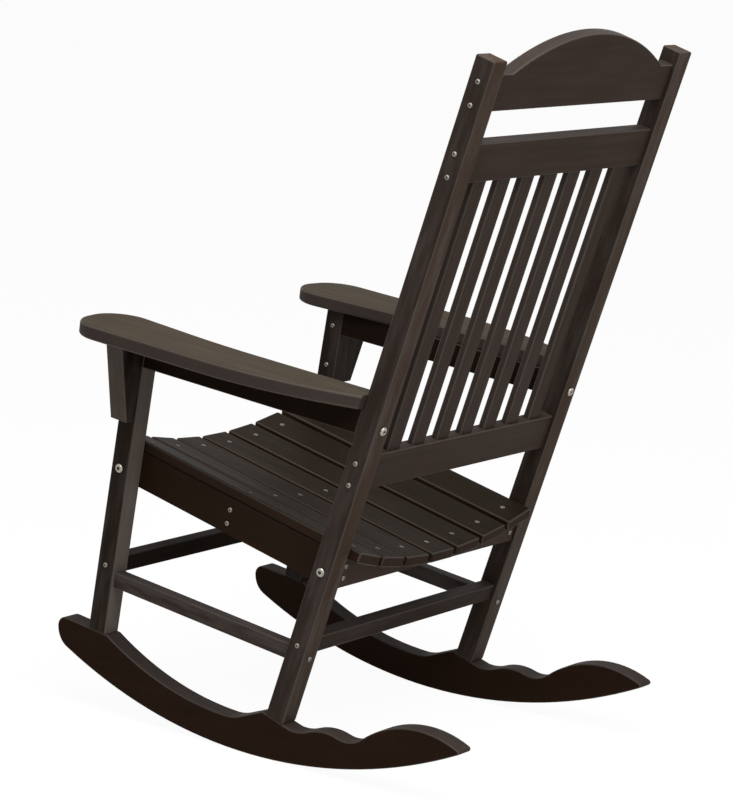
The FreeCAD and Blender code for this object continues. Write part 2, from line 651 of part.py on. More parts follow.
# Screws and bolts: a domed head on a shank, with a six-sided socket
def fastener(name, shank, head, head_tall, length):
    body = doc.addObject("PartDesign::Body", name + "_body")
    rim = "%s * head_rim" % head_tall
    dome = "((%s / 2)^2 + (%s - %s)^2) / (2 * (%s - %s))" % (head, head_tall, rim, head_tall, rim)
    corners = [
        ("0", "-" + length, ""), ("%s / 2" % shank, "-%s + %s" % (length, shank), ""),
        ("%s / 2" % shank, "0", ""), ("%s / 2" % head, "0", ""), ("%s / 2" % head, rim, dome),
        ("0", head_tall, "")]
    sketch = outline(body, "XZ_Plane", corners)
    turning = body.newObject("PartDesign::Revolution", body.Name + "_turning")
    turning.Profile = sketch
    turning.ReferenceAxis = (sketch, ["V_Axis"])
    turning.Angle = 360
    socket = doc.addObject("Part::Prism", name + "_socket")
    socket.Polygon = 6
    socket.setExpression("Circumradius", bound("%s * socket_wide" % head))
    socket.setExpression("Height", bound("2 * socket_deep"))
    socket.setExpression("Placement.Base.z", bound("%s - socket_deep" % head_tall))
    cut = doc.addObject("Part::Cut", name)
    cut.Base = body
    cut.Tool = socket
    return cut


def drill(name, shank, head, length, bore):
    """The hole for a fastener, and the counterbore that sinks its head, if it has one."""
    hole = doc.addObject("Part::Cylinder", name + "_hole")
    hole.setExpression("Radius", bound("%s / 2 + fit_gap" % shank))
    hole.setExpression("Height", bound("%s + 2 * fit_gap" % length))
    hole.setExpression("Placement.Base.z", bound("-%s - fit_gap" % length))
    if not bore:
        alone = doc.addObject("Part::Compound", name)
        alone.Links = [hole]
        return alone
    sink = doc.addObject("Part::Cylinder", name + "_bore")
    sink.setExpression("Radius", bound("%s / 2 + 2 * fit_gap" % head))
    sink.setExpression("Height", bound(bore))
    both = doc.addObject("Part::MultiFuse", name)
    both.Shapes = [hole, sink]
    return both


KINDS = {
    "long_screw": ("screw_shank", "screw_head", "screw_head_tall", "screw_long", ""),
    "short_screw": ("screw_shank", "screw_head", "screw_head_tall", "screw_short", ""),
    "middle_screw": ("screw_shank", "screw_head", "screw_head_tall", "screw_middle", ""),
    "slat_screw": ("screw_shank", "screw_head", "screw_head_tall", "screw_slat", "screw_head_tall"),
    "arm_screw": ("screw_shank", "screw_head", "screw_head_tall", "screw_arm", "arm_rail_tall"),
    "runner_screw": ("screw_shank", "screw_head", "screw_head_tall", "screw_runner",
                     "post_foot_z"),
    "seat_bolt": ("bolt_shank", "bolt_head", "bolt_head_tall", "bolt_seat", ""),
    "arm_bolt": ("bolt_shank", "bolt_head", "bolt_head_tall", "bolt_arm", ""),
}
patterns = {}
drills = {}
for kind, (shank, head, head_tall, length, bore) in KINDS.items():
    patterns[kind] = fastener(kind, shank, head, head_tall, length)
    drills[kind] = drill(kind + "_drill", shank, head, length, bore)
groups = {}

OUT_LEFT = "rotation(vector(0; 1; 0); 90)"
OUT_RIGHT = "rotation(vector(0; 1; 0); -90)"
OUT_BACK = "rotation(vector(1; 0; 0); -90)"
OUT_FRONT = "rotation(vector(1; 0; 0); 90)"
OUT_DOWN = "rotation(vector(1; 0; 0); 180)"


def outward(side):
    return OUT_LEFT if side > 0 else OUT_RIGHT


def copy_of(solid, name, place):
    link = doc.addObject("App::Link", name)
    link.LinkedObject = solid
    link.LinkTransform = False
    link.setExpression("LinkPlacement", bound(place))
    return link


def fasten(group, kind, place, *boards):
    """One fastener of a group, and its hole in each board that it runs through."""
    members = groups.setdefault(group, [])
    name = "%s_%d" % (group, len(members) + 1)
    members.append(copy_of(patterns[kind], name, place))
    hole = copy_of(drills[kind], name + "_hole", place)
    for board_name in boards:
        holes[board_name].append(hole)


def level_with(level, tall, upright):
    """Height on an upright of the middle of a level board's end."""
    return up_the_board(level, "-(%s) / 2" % tall, upright, "0")


SIDE_SCREW = "side_stretcher_tall - 2 * side_screw_rise"
ARM_RAIL_MIDDLE = "2 * arm_thick + arm_rail_tall"
ARM_BOLT = ARM_RAIL_MIDDLE + " + 2 * arm_bolt_drop"
for side_name, side in SIDES.items():
    leg = "front_leg_" + side_name
    post = "back_post_" + side_name
    runner = "runner_" + side_name
    arm_rail = "arm_rail_" + side_name
    side_rail = "seat_side_rail_" + side_name
    stretcher = "side_stretcher_" + side_name
    bracket = "arm_bracket_" + side_name
    face = "%d * outside" % side
    centre = "%d * middle" % side

    # Two screws through the post's side into each rail of the back
    for group, rail, bottom in (("crest_rail_screws", "back_crest_rail", "crest_bottom"),
                                ("upper_rail_screws", "back_upper_rail", "upper_rail_bottom"),
                                ("lower_rail_screws", "back_lower_rail", "lower_rail_bottom")):
        for step in (0, 1):
            up = "%s + rail_screw_inset + %d * rail_screw_step" % (bottom, step)
            fasten(group, "long_screw", put("post", face, "post_deep / 2", up, outward(side)),
                   post, rail)

    # The stretchers
    up = "rear_stretcher_up + rear_stretcher_tall / 2"
    fasten("cross_stretcher_screws", "long_screw",
           put("post", face, "post_deep / 2", up, outward(side)), post, "rear_stretcher")
    up = "front_stretcher_up + front_stretcher_tall / 2"
    fasten("cross_stretcher_screws", "long_screw",
           put("leg", face, "leg_deep / 2", up, outward(side)), leg, "front_stretcher")
    fasten("side_stretcher_screws", "long_screw",
           put("post", centre, "post_deep", level_with(SIDE, SIDE_SCREW, POST), OUT_BACK),
           post, stretcher)
    fasten("side_stretcher_screws", "long_screw",
           put("leg", centre, "0", level_with(SIDE, SIDE_SCREW, LEG), OUT_FRONT),
           leg, stretcher)

    # The seat frame, hung on one bolt at each leg and post
    fasten("seat_bolts", "seat_bolt", put("post", face, "post_deep / 2", "seat_up_post", outward(side)),
           post, "seat_rear_rail")
    fasten("seat_bolts", "seat_bolt", put("leg", face, "leg_deep / 2", "seat_up_leg", outward(side)),
           leg, "seat_front_rail")
    rail_x = "%d * (inside - board / 2)" % side
    for up in ("frame_screw_low", "frame_screw_high"):
        height = "%s - seat_frame_drop" % up
        fasten("seat_frame_screws", "short_screw",
               put("seat", rail_x, "rear_rail + board / 2", height, OUT_BACK),
               "seat_rear_rail", side_rail)
        fasten("seat_frame_screws", "short_screw",
               put("seat", rail_x, "front_rail - board / 2", height, OUT_FRONT),
               "seat_front_rail", side_rail)
    for up in ("middle_screw_low", "middle_screw_high"):
        fasten("middle_rail_screws", "middle_screw",
               put("seat", "%d * inside" % side, "slat_long / 2 - middle_screw_ahead",
                   "%s - seat_frame_drop" % up, outward(side)), side_rail, "seat_middle_rail")

    # The arm, its rail and its bracket
    fasten("arm_bolts", "arm_bolt",
           put("post", centre, "post_deep", level_with(ARM, ARM_BOLT, POST), OUT_BACK),
           post, arm_rail)
    fasten("arm_rail_screws", "long_screw",
           put("leg", centre, "0", level_with(ARM, ARM_RAIL_MIDDLE, LEG), OUT_FRONT),
           leg, arm_rail)
    for step in (0, 1, 2):
        along = "-(arm_screw_first + %d * arm_screw_step)" % step
        fasten("arm_screws", "arm_screw",
               put("arm", centre, along, "arm_bore - arm_rail_tall - arm_thick", OUT_DOWN),
               arm_rail, "arm_" + side_name)
    for up in ("bracket_foot + bracket_screw_low", "leg_top_front - bracket_screw_drop"):
        fasten("bracket_screws", "short_screw",
               put("leg", "%d * inside" % side, "leg_deep / 2", up, outward(-side)), leg, bracket)

    # The feet, held from under the runner
    for frame, deep, foot in (("leg", "leg_deep", leg), ("post", "post_deep", post)):
        fasten("runner_screws", "runner_screw",
               put(frame, centre, deep + " / 2", "-foot_grip", OUT_DOWN), runner, foot)

# One screw through each seat slat into each cross rail, its head flush with the slat
for number in range(int(value("seat_slats"))):
    for rail, along in (("seat_front_rail", "front_rail"), ("seat_middle_rail", "slat_long / 2"),
                        ("seat_rear_rail", "rear_rail")):
        fasten("seat_slat_screws", "slat_screw", slat_place(number, along, "screw_head_tall"),
               "seat_slat_%d" % (number + 1), rail)

# Each board with its holes cut, under its own name
pieces = {}
for name, solid in nodes.items():
    if not holes[name]:
        pieces[name] = solid
        continue
    tool = doc.addObject("Part::Compound", name + "_holes")
    tool.Links = holes[name]
    cut = doc.addObject("Part::Cut", name)
    cut.Base = solid
    cut.Tool = tool
    pieces[name] = cut
for name, members in groups.items():
    group = doc.addObject("Part::Compound", name)
    group.Links = members
    pieces[name] = group
for name, piece in pieces.items():
    piece.Label = name
doc.recompute()

for thing in doc.Objects:
    if "Invalid" in thing.State or "Error" in thing.State:
        raise RuntimeError("%s is not right: %s" % (thing.Label, thing.State))
for name, piece in pieces.items():
    if piece.Shape.isNull() or not piece.Shape.isValid():
        raise RuntimeError("%s has no good shape" % name)
    wanted = len(groups[name]) if name in groups else 1
    if len(piece.Shape.Solids) != wanted:
        raise RuntimeError("%s holds %d solids" % (name, len(piece.Shape.Solids)))

os.makedirs("parts", exist_ok=True)
for name, piece in pieces.items():
    piece.Shape.exportStep("parts/%s.step" % name)
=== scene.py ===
import bmesh
import bpy
import math
import numpy as np
from mathutils import Matrix, Vector


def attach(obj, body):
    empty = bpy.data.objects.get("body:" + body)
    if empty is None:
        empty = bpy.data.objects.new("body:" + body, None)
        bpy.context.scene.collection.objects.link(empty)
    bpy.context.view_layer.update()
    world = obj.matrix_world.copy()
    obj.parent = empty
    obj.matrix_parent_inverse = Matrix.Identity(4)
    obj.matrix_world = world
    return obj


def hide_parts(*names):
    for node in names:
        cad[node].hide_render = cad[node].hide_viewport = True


# A high-backed porch rocker of dark brown plastic lumber. The boards are the frame's own.
# Here they get their finish, and the screws and bolts get their turned heads and sockets.
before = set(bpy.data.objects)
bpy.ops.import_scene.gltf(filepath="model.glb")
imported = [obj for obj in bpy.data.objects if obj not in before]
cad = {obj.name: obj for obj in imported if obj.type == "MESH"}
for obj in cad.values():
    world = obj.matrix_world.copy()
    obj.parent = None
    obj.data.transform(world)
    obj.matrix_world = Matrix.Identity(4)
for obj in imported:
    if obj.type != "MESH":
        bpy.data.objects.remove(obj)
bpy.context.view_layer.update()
MM = 0.001

# How far each group of boards leans back from upright or level, in degrees
LEANS = {"runner": -3.8, "leg": 7.5, "post": 17.0, "arm": 5.07, "side": 7.0, "seat": 13.07}
ACROSS, BACK, UP = Vector((1, 0, 0)), Vector((0, 1, 0)), Vector((0, 0, 1))

# The photograph's camera. Its azimuth and elevation come from the frame in which the chair was
# measured. The camera is then rolled about X as the chair was, to where it rests on its runners.
CHAIR_ROLL = math.radians(3.8)
CAMERA_PLACE = Vector((4163.7, 3041.8, 1555.0)) * MM
CAMERA_AZIMUTH = math.radians(126.684)
CAMERA_ELEVATION = math.radians(8.452)
FOCAL_PIXELS = 2991.4
PHOTO_TALL_PIXELS = 800
SENSOR_MM = 36
CAMERA_REACH_METRES = 100

# Finishes of the boards, in linear light
SHEET_BROWN = (0.0118, 0.0056, 0.0030)
# A darker copy of the sheet brown, with shade painted in, for boards that lie in shadow
PAINTED_SHADE_BROWN = (0.0070, 0.0038, 0.0025)
RAIL_BROWN = (0.0270, 0.0160, 0.0115)
BAR_BROWN = (0.0165, 0.0110, 0.0086)
BACK_BAR_BROWN = (0.0130, 0.0076, 0.0052)
# The legs' brown, darkened with painted shade from the arms above them
LEG_PAINTED_SHADE_BROWN = (0.0072, 0.0046, 0.0029)
# A painted light for the left front leg's front, back and end faces, far paler than the leg's own
# brown
LEG_BACK_PAINTED_LIGHT = (0.0680, 0.0550, 0.0470)
BRACKET_BROWN = (0.0330, 0.0255, 0.0205)
BACK_BROWN = (0.0198, 0.0120, 0.0086)
POST_BACK_BROWN = (0.0235, 0.0140, 0.0088)
SAWN_BROWN = (0.0230, 0.0175, 0.0155)
# A paler copy of the sheet brown for the arms' broad faces, with the light from above painted in
TOP_PAINTED_LIGHT_BROWN = (0.0285, 0.0205, 0.0118)
SEAT_BROWN = (0.0092, 0.0058, 0.0033)
# Grey patches painted in as a sheen on the moulded bars
GREY_PAINTED_SHEEN = (0.0520, 0.0440, 0.0400)
FLECK_GREY = (0.10, 0.09, 0.08)
# A pale tint on the eased edges: partly wear, partly a painted sheen
WORN_EDGE_AND_SHEEN = (0.085, 0.074, 0.066)
WARM_SHINE = (1.0, 0.80, 0.66)

# How much of a streak is long and how much is broad
STREAK_PART = 0.7
WAVE_PART = 0.35

# How much each pattern changes the shade of a board, or mixes its own colour in
PLAIN_SHADE = 0.92
HAIRLINE_SHADE = 0.12
CLOUD_SHADE = 0.12
SAW_SHADE = 0.35
FLECK_SHARE = 0.20
WORN_AND_SHEEN_SHARE = 0.38

# How much each pattern adds to a board's roughness and to its relief
SHINY_STREAK = -0.10
ROUGH_GRIT = 0.10
SHINY_EDGE = -0.12
PLAIN_ROUGH = 0.06
STREAK_RELIEF = 0.4
HAIRLINE_RELIEF = 0.6
GRIT_RELIEF = 0.25
SAW_RELIEF = 0.5
RELIEF_STRENGTH = 0.35
RELIEF_TALL = 0.25 * MM

# The steel of the fasteners
STEEL = (0.42, 0.39, 0.34)
# Steel darkened with the shade inside a drive socket painted in
SOCKET_PAINTED_SHADE = (0.110, 0.090, 0.070)
SCREW_SHARE = 0.62
FILM_SHARE = 0.78
SCUFF_ROUGH = 0.22
SCUFF_STRENGTH = 0.25
SCUFF_TALL = 0.05 * MM


# Building blocks of the finishes
def socket_group(name, inputs, outputs):
    """An empty node group with these inputs (name, kind, value) and outputs (name, kind)."""
    group = bpy.data.node_groups.new(name, "ShaderNodeTree")
    for label, kind, value in inputs:
        socket = group.interface.new_socket(label, in_out="INPUT", socket_type="NodeSocket" + kind)
        if value is not None:
            socket.default_value = value
    for label, kind in outputs:
        group.interface.new_socket(label, in_out="OUTPUT", socket_type="NodeSocket" + kind)
    return group, group.nodes.new("NodeGroupInput"), group.nodes.new("NodeGroupOutput")


def set_input(tree, socket, value):
    """Joins a socket to an input, or writes a number into it."""
    if isinstance(value, bpy.types.NodeSocket):
        tree.links.new(value, socket)
    else:
        socket.default_value = value


def calc(tree, operation, *terms):
    """A Math node. Each term is a socket or a number."""
    node = tree.nodes.new("ShaderNodeMath")
    node.operation = operation
    for place, term in enumerate(terms):
        set_input(tree, node.inputs[place], term)
    return node.outputs[0]


def blend_colour(tree, share, first, second, mode="MIX"):
    """Mixes two colours. Each is a socket or three numbers."""
    node = tree.nodes.new("ShaderNodeMix")
    node.data_type = "RGBA"
    node.blend_type = mode
    set_input(tree, node.inputs["Factor"], share)
    # A Mix node's inputs 6 and 7 are its two colours, and its output 2 is the mixed one
    for place, colour in ((6, first), (7, second)):
        set_input(tree, node.inputs[place], (*colour, 1) if isinstance(colour, tuple) else colour)
    return node.outputs[2]


def ramp(tree, value, low, high):
    """0 below low, 1 above high, and smooth between."""
    node = tree.nodes.new("ShaderNodeMapRange")
    node.interpolation_type = "SMOOTHSTEP"
    node.inputs["From Min"].default_value = low
    node.inputs["From Max"].default_value = high
    tree.links.new(value, node.inputs["Value"])
    return node.outputs["Result"]


def one_minus(tree, value):
    """1 where the value is 0, and 0 where it is 1."""
    return calc(tree, "SUBTRACT", 1.0, value)


def noise(tree, vector, scale, detail=3.0, roughness=0.5):
    """Soft noise. The scale is in features per metre."""
    node = tree.nodes.new("ShaderNodeTexNoise")
    node.inputs["Scale"].default_value = scale
    node.inputs["Detail"].default_value = detail
    node.inputs["Roughness"].default_value = roughness
    tree.links.new(vector, node.inputs["Vector"])
    return node.outputs["Fac"]


def vector_math(tree, operation, first, second, output="Vector"):
    """A Vector Math node. The second term is a socket or three numbers."""
    node = tree.nodes.new("ShaderNodeVectorMath")
    node.operation = operation
    tree.links.new(first, node.inputs[0])
    set_input(tree, node.inputs[1], second)
    return node.outputs[output]


def drawn_out(tree, vector, times):
    """The coordinates drawn out along the grain, which runs along X."""
    return vector_math(tree, "MULTIPLY", vector, (1 / times, 1, 1))


def three_alike(tree, value):
    """A value on all three of X, Y and Z."""
    node = tree.nodes.new("ShaderNodeCombineXYZ")
    for label in "XYZ":
        tree.links.new(value, node.inputs[label])
    return node.outputs[0]


def shifted(tree, start):
    """A group's Board coordinates moved by its Seed, so that no two boards match."""
    shift = three_alike(tree, start.outputs["Seed"])
    return vector_math(tree, "ADD", start.outputs["Board"], shift)


BOARD_AND_SEED = [("Board", "Vector", None), ("Seed", "Float", 0.0)]


def brushed_grain():
    """Lengthwise streaks and hairlines of plastic lumber, as drawn through its die, and the
    patches of a grey painted sheen."""
    group, start, end = socket_group(
        "brushed_grain", BOARD_AND_SEED,
        [("Streak", "Float"), ("Hairline", "Float"), ("Painted_Sheen", "Float"), ("Height", "Float")])
    place = shifted(group, start)
    streak = noise(group, drawn_out(group, place, 22), scale=95, detail=4, roughness=0.6)
    hairline = noise(group, drawn_out(group, place, 40), scale=620, detail=2, roughness=0.7)
    wave = noise(group, drawn_out(group, place, 5), scale=26, detail=2)
    bloom = noise(group, drawn_out(group, place, 7), scale=42, detail=4, roughness=0.62)
    streak = calc(group, "MULTIPLY", streak, STREAK_PART)
    streak = ramp(group, calc(group, "MULTIPLY_ADD", wave, WAVE_PART, streak), low=0.36, high=0.70)
    bloom = ramp(group, bloom, low=0.42, high=0.66)
    height = calc(group, "MULTIPLY", streak, STREAK_RELIEF)
    height = calc(group, "MULTIPLY_ADD", hairline, HAIRLINE_RELIEF, height)
    for label, value in (("Streak", streak), ("Hairline", hairline), ("Painted_Sheen", bloom),
                         ("Height", height)):
        group.links.new(value, end.inputs[label])
    return group


def board_faces():
    """Tells a board's eased edges and its sawn faces from its broad faces by their normal."""
    group, start, end = socket_group(
        "board_faces", [("Normal", "Vector", None), ("Thickness", "Vector", (0, 0, 1))],
        [("Edge", "Float"), ("Sawn", "Float")])
    normal, thickness = start.outputs["Normal"], start.outputs["Thickness"]
    split = group.nodes.new("ShaderNodeSeparateXYZ")
    group.links.new(normal, split.inputs[0])
    sizes = [calc(group, "ABSOLUTE", split.outputs[label]) for label in "XYZ"]
    largest = calc(group, "MAXIMUM", calc(group, "MAXIMUM", sizes[0], sizes[1]), sizes[2])
    flat = calc(group, "ABSOLUTE", vector_math(group, "DOT_PRODUCT", normal, thickness, "Value"))
    # An eased edge faces between the board's own axes, and between its broad and its sawn faces
    turn = calc(group, "MULTIPLY", flat, one_minus(group, flat))
    off_axis = one_minus(group, ramp(group, largest, low=0.86, high=0.985))
    off_face = ramp(group, turn, low=0.02, high=0.16)
    sawn = one_minus(group, ramp(group, flat, low=0.30, high=0.72))
    group.links.new(calc(group, "MINIMUM", off_axis, off_face), end.inputs["Edge"])
    group.links.new(sawn, end.inputs["Sawn"])
    return group


def flecks():
    """Fine pale flecks and soft clouds in the colour of recycled plastic, and its grit."""
    group, start, end = socket_group(
        "flecks", BOARD_AND_SEED, [("Fleck", "Float"), ("Cloud", "Float"), ("Grit", "Float")])
    place = shifted(group, start)
    cells = group.nodes.new("ShaderNodeTexVoronoi")
    cells.inputs["Scale"].default_value = 210
    group.links.new(place, cells.inputs["Vector"])
    near = one_minus(group, ramp(group, cells.outputs["Distance"], low=0.10, high=0.22))
    chosen = ramp(group, noise(group, place, scale=90, detail=1), low=0.60, high=0.70)
    cloud = ramp(group, noise(group, place, scale=9), low=0.30, high=0.70)
    grit = noise(group, place, scale=1500, detail=2, roughness=0.6)
    group.links.new(calc(group, "MULTIPLY", near, chosen), end.inputs["Fleck"])
    group.links.new(cloud, end.inputs["Cloud"])
    group.links.new(grit, end.inputs["Grit"])
    return group


def saw_marks():
    """Fine marks across the grain, left by the saw and the router on cut faces."""
    group, start, end = socket_group("saw_marks", BOARD_AND_SEED, [("Mark", "Float")])
    squeezed = vector_math(group, "MULTIPLY", shifted(group, start), (1.0, 0.04, 0.04))
    mark = noise(group, squeezed, scale=700, roughness=0.65)
    group.links.new(mark, end.inputs["Mark"])
    return group


GRAIN, FACES, FLECKS, SAW = brushed_grain(), board_faces(), flecks(), saw_marks()


def use_group(tree, group, **values):
    """Places a node group. Each value is a socket, a number or a vector."""
    node = tree.nodes.new("ShaderNodeGroup")
    node.node_tree = group
    for label, value in values.items():
        set_input(tree, node.inputs[label], value)
    return node.outputs


def new_material(name):
    """A new material, with its tree and its shader."""
    material = bpy.data.materials.new(name)
    material.use_nodes = True
    tree = material.node_tree
    return material, tree, tree.nodes["Principled BSDF"]


def add_relief(tree, shader, height, strength, tall):
    """Raises a pattern on the surface, as far as tall, through the shader's normal."""
    bump = tree.nodes.new("ShaderNodeBump")
    bump.inputs["Strength"].default_value = strength
    bump.inputs["Distance"].default_value = tall
    tree.links.new(height, bump.inputs["Height"])
    tree.links.new(bump.outputs["Normal"], shader.inputs["Normal"])


# The boards: turns that bring the grain's direction, X, to a board's length
GRAIN_TURNS = {"x": Matrix.Identity(3), "y": Matrix.Rotation(math.radians(90), 3, "Z"),
               "z": Matrix.Rotation(math.radians(-90), 3, "Y")}


# How far apart the patterns of two boards in the list start, in metres
SEED_STEP = 1.7
SEED_RANGE = 10


def leaning(direction, group):
    """A direction leant back as far as a group of boards."""
    return Matrix.Rotation(math.radians(-LEANS[group]), 3, "X") @ direction


def lumber(name, group, along, thickness, face, sawn=SAWN_BROWN, gloss=0.52, shine=0.07,
           streaks=0.12, bloom=0.0, seed=0.0):
    """The finish of one board. Its grain runs along the axis named, leant as its group is. Its
    broad faces look along thickness. Streaks and bloom give how strongly the streaks and the
    painted grey sheen show."""
    turn = leaning(GRAIN_TURNS[along], group)
    points = np.array([vertex.co for vertex in cad[name].data.vertices]) @ np.array(turn)
    middle = turn @ Vector((points.min(0) + points.max(0)) / 2)
    material, tree, shader = new_material("lumber_" + name)
    coordinates = tree.nodes.new("ShaderNodeTexCoord")
    own = {}
    for output, place in (("Object", middle), ("Normal", Vector((0, 0, 0)))):
        mapping = tree.nodes.new("ShaderNodeMapping")
        mapping.vector_type = "TEXTURE"
        mapping.inputs["Location"].default_value = place
        mapping.inputs["Rotation"].default_value = turn.to_euler("XYZ")
        tree.links.new(coordinates.outputs[output], mapping.inputs["Vector"])
        own[output] = mapping.outputs["Vector"]
    grain = use_group(tree, GRAIN, Board=own["Object"], Seed=seed)
    faces = use_group(tree, FACES, Normal=own["Normal"], Thickness=turn.transposed() @ thickness)
    fleck = use_group(tree, FLECKS, Board=own["Object"], Seed=seed)
    saw = use_group(tree, SAW, Board=own["Object"], Seed=seed)

    def on_sawn(strength):
        return calc(tree, "MULTIPLY", faces["Sawn"], strength)

    colour = blend_colour(tree, faces["Sawn"], face, sawn)
    # Patches of painted grey sheen
    if bloom:
        share = calc(tree, "MULTIPLY", grain["Painted_Sheen"], bloom)
        colour = blend_colour(tree, share, colour, GREY_PAINTED_SHEEN)
    shade = calc(tree, "MULTIPLY_ADD", grain["Streak"], streaks, PLAIN_SHADE - streaks / 2)
    shade = calc(tree, "MULTIPLY_ADD", grain["Hairline"], HAIRLINE_SHADE, shade)
    shade = calc(tree, "MULTIPLY_ADD", fleck["Cloud"], CLOUD_SHADE, shade)
    shade = calc(tree, "MULTIPLY_ADD", saw["Mark"], on_sawn(SAW_SHADE), shade)
    colour = blend_colour(tree, 1.0, colour, three_alike(tree, shade), "MULTIPLY")
    # Pale flecks of the plastic, and the eased edges lightened with wear and a painted sheen
    for mask, share, tint in ((fleck["Fleck"], FLECK_SHARE, FLECK_GREY),
                              (faces["Edge"], WORN_AND_SHEEN_SHARE, WORN_EDGE_AND_SHEEN)):
        colour = blend_colour(tree, calc(tree, "MULTIPLY", mask, share), colour, tint)
    tree.links.new(colour, shader.inputs["Base Color"])

    rough = calc(tree, "MULTIPLY_ADD", grain["Streak"], SHINY_STREAK, gloss + PLAIN_ROUGH)
    rough = calc(tree, "MULTIPLY_ADD", fleck["Grit"], ROUGH_GRIT, rough)
    rough = calc(tree, "MULTIPLY_ADD", faces["Edge"], SHINY_EDGE, rough)
    tree.links.new(rough, shader.inputs["Roughness"])
    shader.inputs["Specular IOR Level"].default_value = shine
    shader.inputs["Specular Tint"].default_value = (*WARM_SHINE, 1)

    relief = calc(tree, "MULTIPLY_ADD", fleck["Grit"], GRIT_RELIEF, grain["Height"])
    relief = calc(tree, "MULTIPLY_ADD", saw["Mark"], on_sawn(SAW_RELIEF), relief)
    add_relief(tree, shader, relief, RELIEF_STRENGTH, RELIEF_TALL)
    return material


def finish_board(name, group, along, thickness, face, **values):
    """Gives a board its finish. Its seed comes from its place in the list of pieces."""
    seed = SEED_STEP * sorted(cad).index(name) % SEED_RANGE
    material = lumber(name, group, along, thickness, face, seed=seed, **values)
    cad[name].data.materials.clear()
    cad[name].data.materials.append(material)


for side in ("left", "right"):
    finish_board("runner_" + side, "runner", "y", ACROSS, SHEET_BROWN, shine=0.03)
    # The front legs take the legs' brown with painted shade
    finish_board("front_leg_" + side, "leg", "z", ACROSS, LEG_PAINTED_SHADE_BROWN,
                 # On the left leg the faces other than its sides carry a painted light
                 sawn=LEG_BACK_PAINTED_LIGHT if side == "left" else LEG_PAINTED_SHADE_BROWN, bloom=0.30)
    finish_board("back_post_" + side, "post", "z", ACROSS, BAR_BROWN, sawn=POST_BACK_BROWN,
                 bloom=0.32)
    # The arms' top and bottom faces take the brown with painted top light
    finish_board("arm_" + side, "arm", "y", leaning(UP, "arm"), TOP_PAINTED_LIGHT_BROWN, gloss=0.56,
                 streaks=0.06)
    # The arm rails take the brown with painted shade, for the shadow under the arms
    finish_board("arm_rail_" + side, "arm", "y", ACROSS, PAINTED_SHADE_BROWN, shine=0.02)
    # The arm brackets' broad faces take the legs' brown with painted shade
    finish_board("arm_bracket_" + side, "leg", "z", leaning(BACK, "leg"), LEG_PAINTED_SHADE_BROWN,
                 sawn=BRACKET_BROWN, bloom=0.3)
    finish_board("side_stretcher_" + side, "side", "y", ACROSS, BAR_BROWN, bloom=0.55)
    finish_board("seat_side_rail_" + side, "seat", "y", ACROSS, SHEET_BROWN, shine=0.05)
for name in ("back_crest_rail", "back_upper_rail", "back_lower_rail"):
    finish_board(name, "post", "x", leaning(BACK, "post"), BACK_BROWN)
finish_board("rear_stretcher", "post", "x", leaning(BACK, "post"), BACK_BAR_BROWN, bloom=0.15)
# The front stretcher's broad faces take the brown with painted shade
finish_board("front_stretcher", "leg", "x", leaning(BACK, "leg"), PAINTED_SHADE_BROWN, sawn=BAR_BROWN,
             shine=0.03)
for name in ("seat_front_rail", "seat_middle_rail", "seat_rear_rail"):
    finish_board(name, "seat", "x", leaning(BACK, "seat"), RAIL_BROWN)
for number in range(1, 8):
    finish_board("back_slat_%d" % number, "post", "z", leaning(BACK, "post"), BACK_BROWN,
                 gloss=0.48)
    finish_board("seat_slat_%d" % number, "seat", "y", leaning(UP, "seat"), SEAT_BROWN,
                 sawn=SHEET_BROWN, streaks=0.08, shine=0.06)


# Screws and bolts
def stainless(name, tint, gloss):
    """Bare stainless steel with faint scuffs and a duller film in patches."""
    material, tree, shader = new_material(name)
    place = tree.nodes.new("ShaderNodeTexCoord").outputs["Object"]
    scuff = noise(tree, place, scale=900, detail=4, roughness=0.65)
    film = ramp(tree, noise(tree, place, scale=160, detail=2), low=0.35, high=0.65)
    colour = blend_colour(tree, film, tint, tuple(FILM_SHARE * part for part in tint))
    tree.links.new(colour, shader.inputs["Base Color"])
    rough = calc(tree, "MULTIPLY_ADD", scuff, SCUFF_ROUGH, gloss)
    tree.links.new(rough, shader.inputs["Roughness"])
    shader.inputs["Metallic"].default_value = 1.0
    add_relief(tree, shader, scuff, SCUFF_STRENGTH, SCUFF_TALL)
    return material


BOLT_STEEL = stainless("bolt_steel", STEEL, gloss=0.30)
SCREW_STEEL = stainless("screw_steel", tuple(SCREW_SHARE * part for part in STEEL), gloss=0.42)
# The inside of each socket: steel with painted shade
SOCKET_PAINTED_SHADE_STEEL = stainless("socket_painted_shade_steel", SOCKET_PAINTED_SHADE, gloss=0.55)

# Kinds of fastener: the flats of the drive socket, its size as a share of the head's, and
# whether the head lies flush in its board
HEX_BOLT = (6, 0.40, False)
PLAIN_SCREW = (4, 0.36, False)
FLUSH_SCREW = (4, 0.36, True)
KINDS = {"seat_bolts": HEX_BOLT, "arm_bolts": HEX_BOLT, "seat_slat_screws": FLUSH_SCREW}

# Rings of a head from its rim inwards: shares of the head's radius and of its height
UNDERSIDE_SHARE = 0.95
UNDERSIDE_LIFT = 0.02
DOMED_HEAD = [(1.0, 0.10), (1.0, 0.30), (0.985, 0.42), (0.93, 0.58), (0.83, 0.74), (0.70, 0.87),
              (0.56, 0.96)]
FLUSH_HEAD = [(1.0, 0.10), (1.0, 0.74), (0.985, 0.84), (0.95, 0.90), (0.72, 0.93)]
# Rings of the socket from its mouth down: shares of the socket's radius and the head's height
SOCKET_MOUTH = (1.18, 0.975)
SOCKET_RINGS = [(1.04, 0.96), (1.0, 0.90), (0.97, 0.42), (0.50, 0.30)]
# How far a shank tapers at its tip, as a share of its radius
TIP_SHARE = 0.8
HEAD_SEGMENTS = 48
SHANK_SEGMENTS = 24
SHARP_ANGLE = math.radians(38)
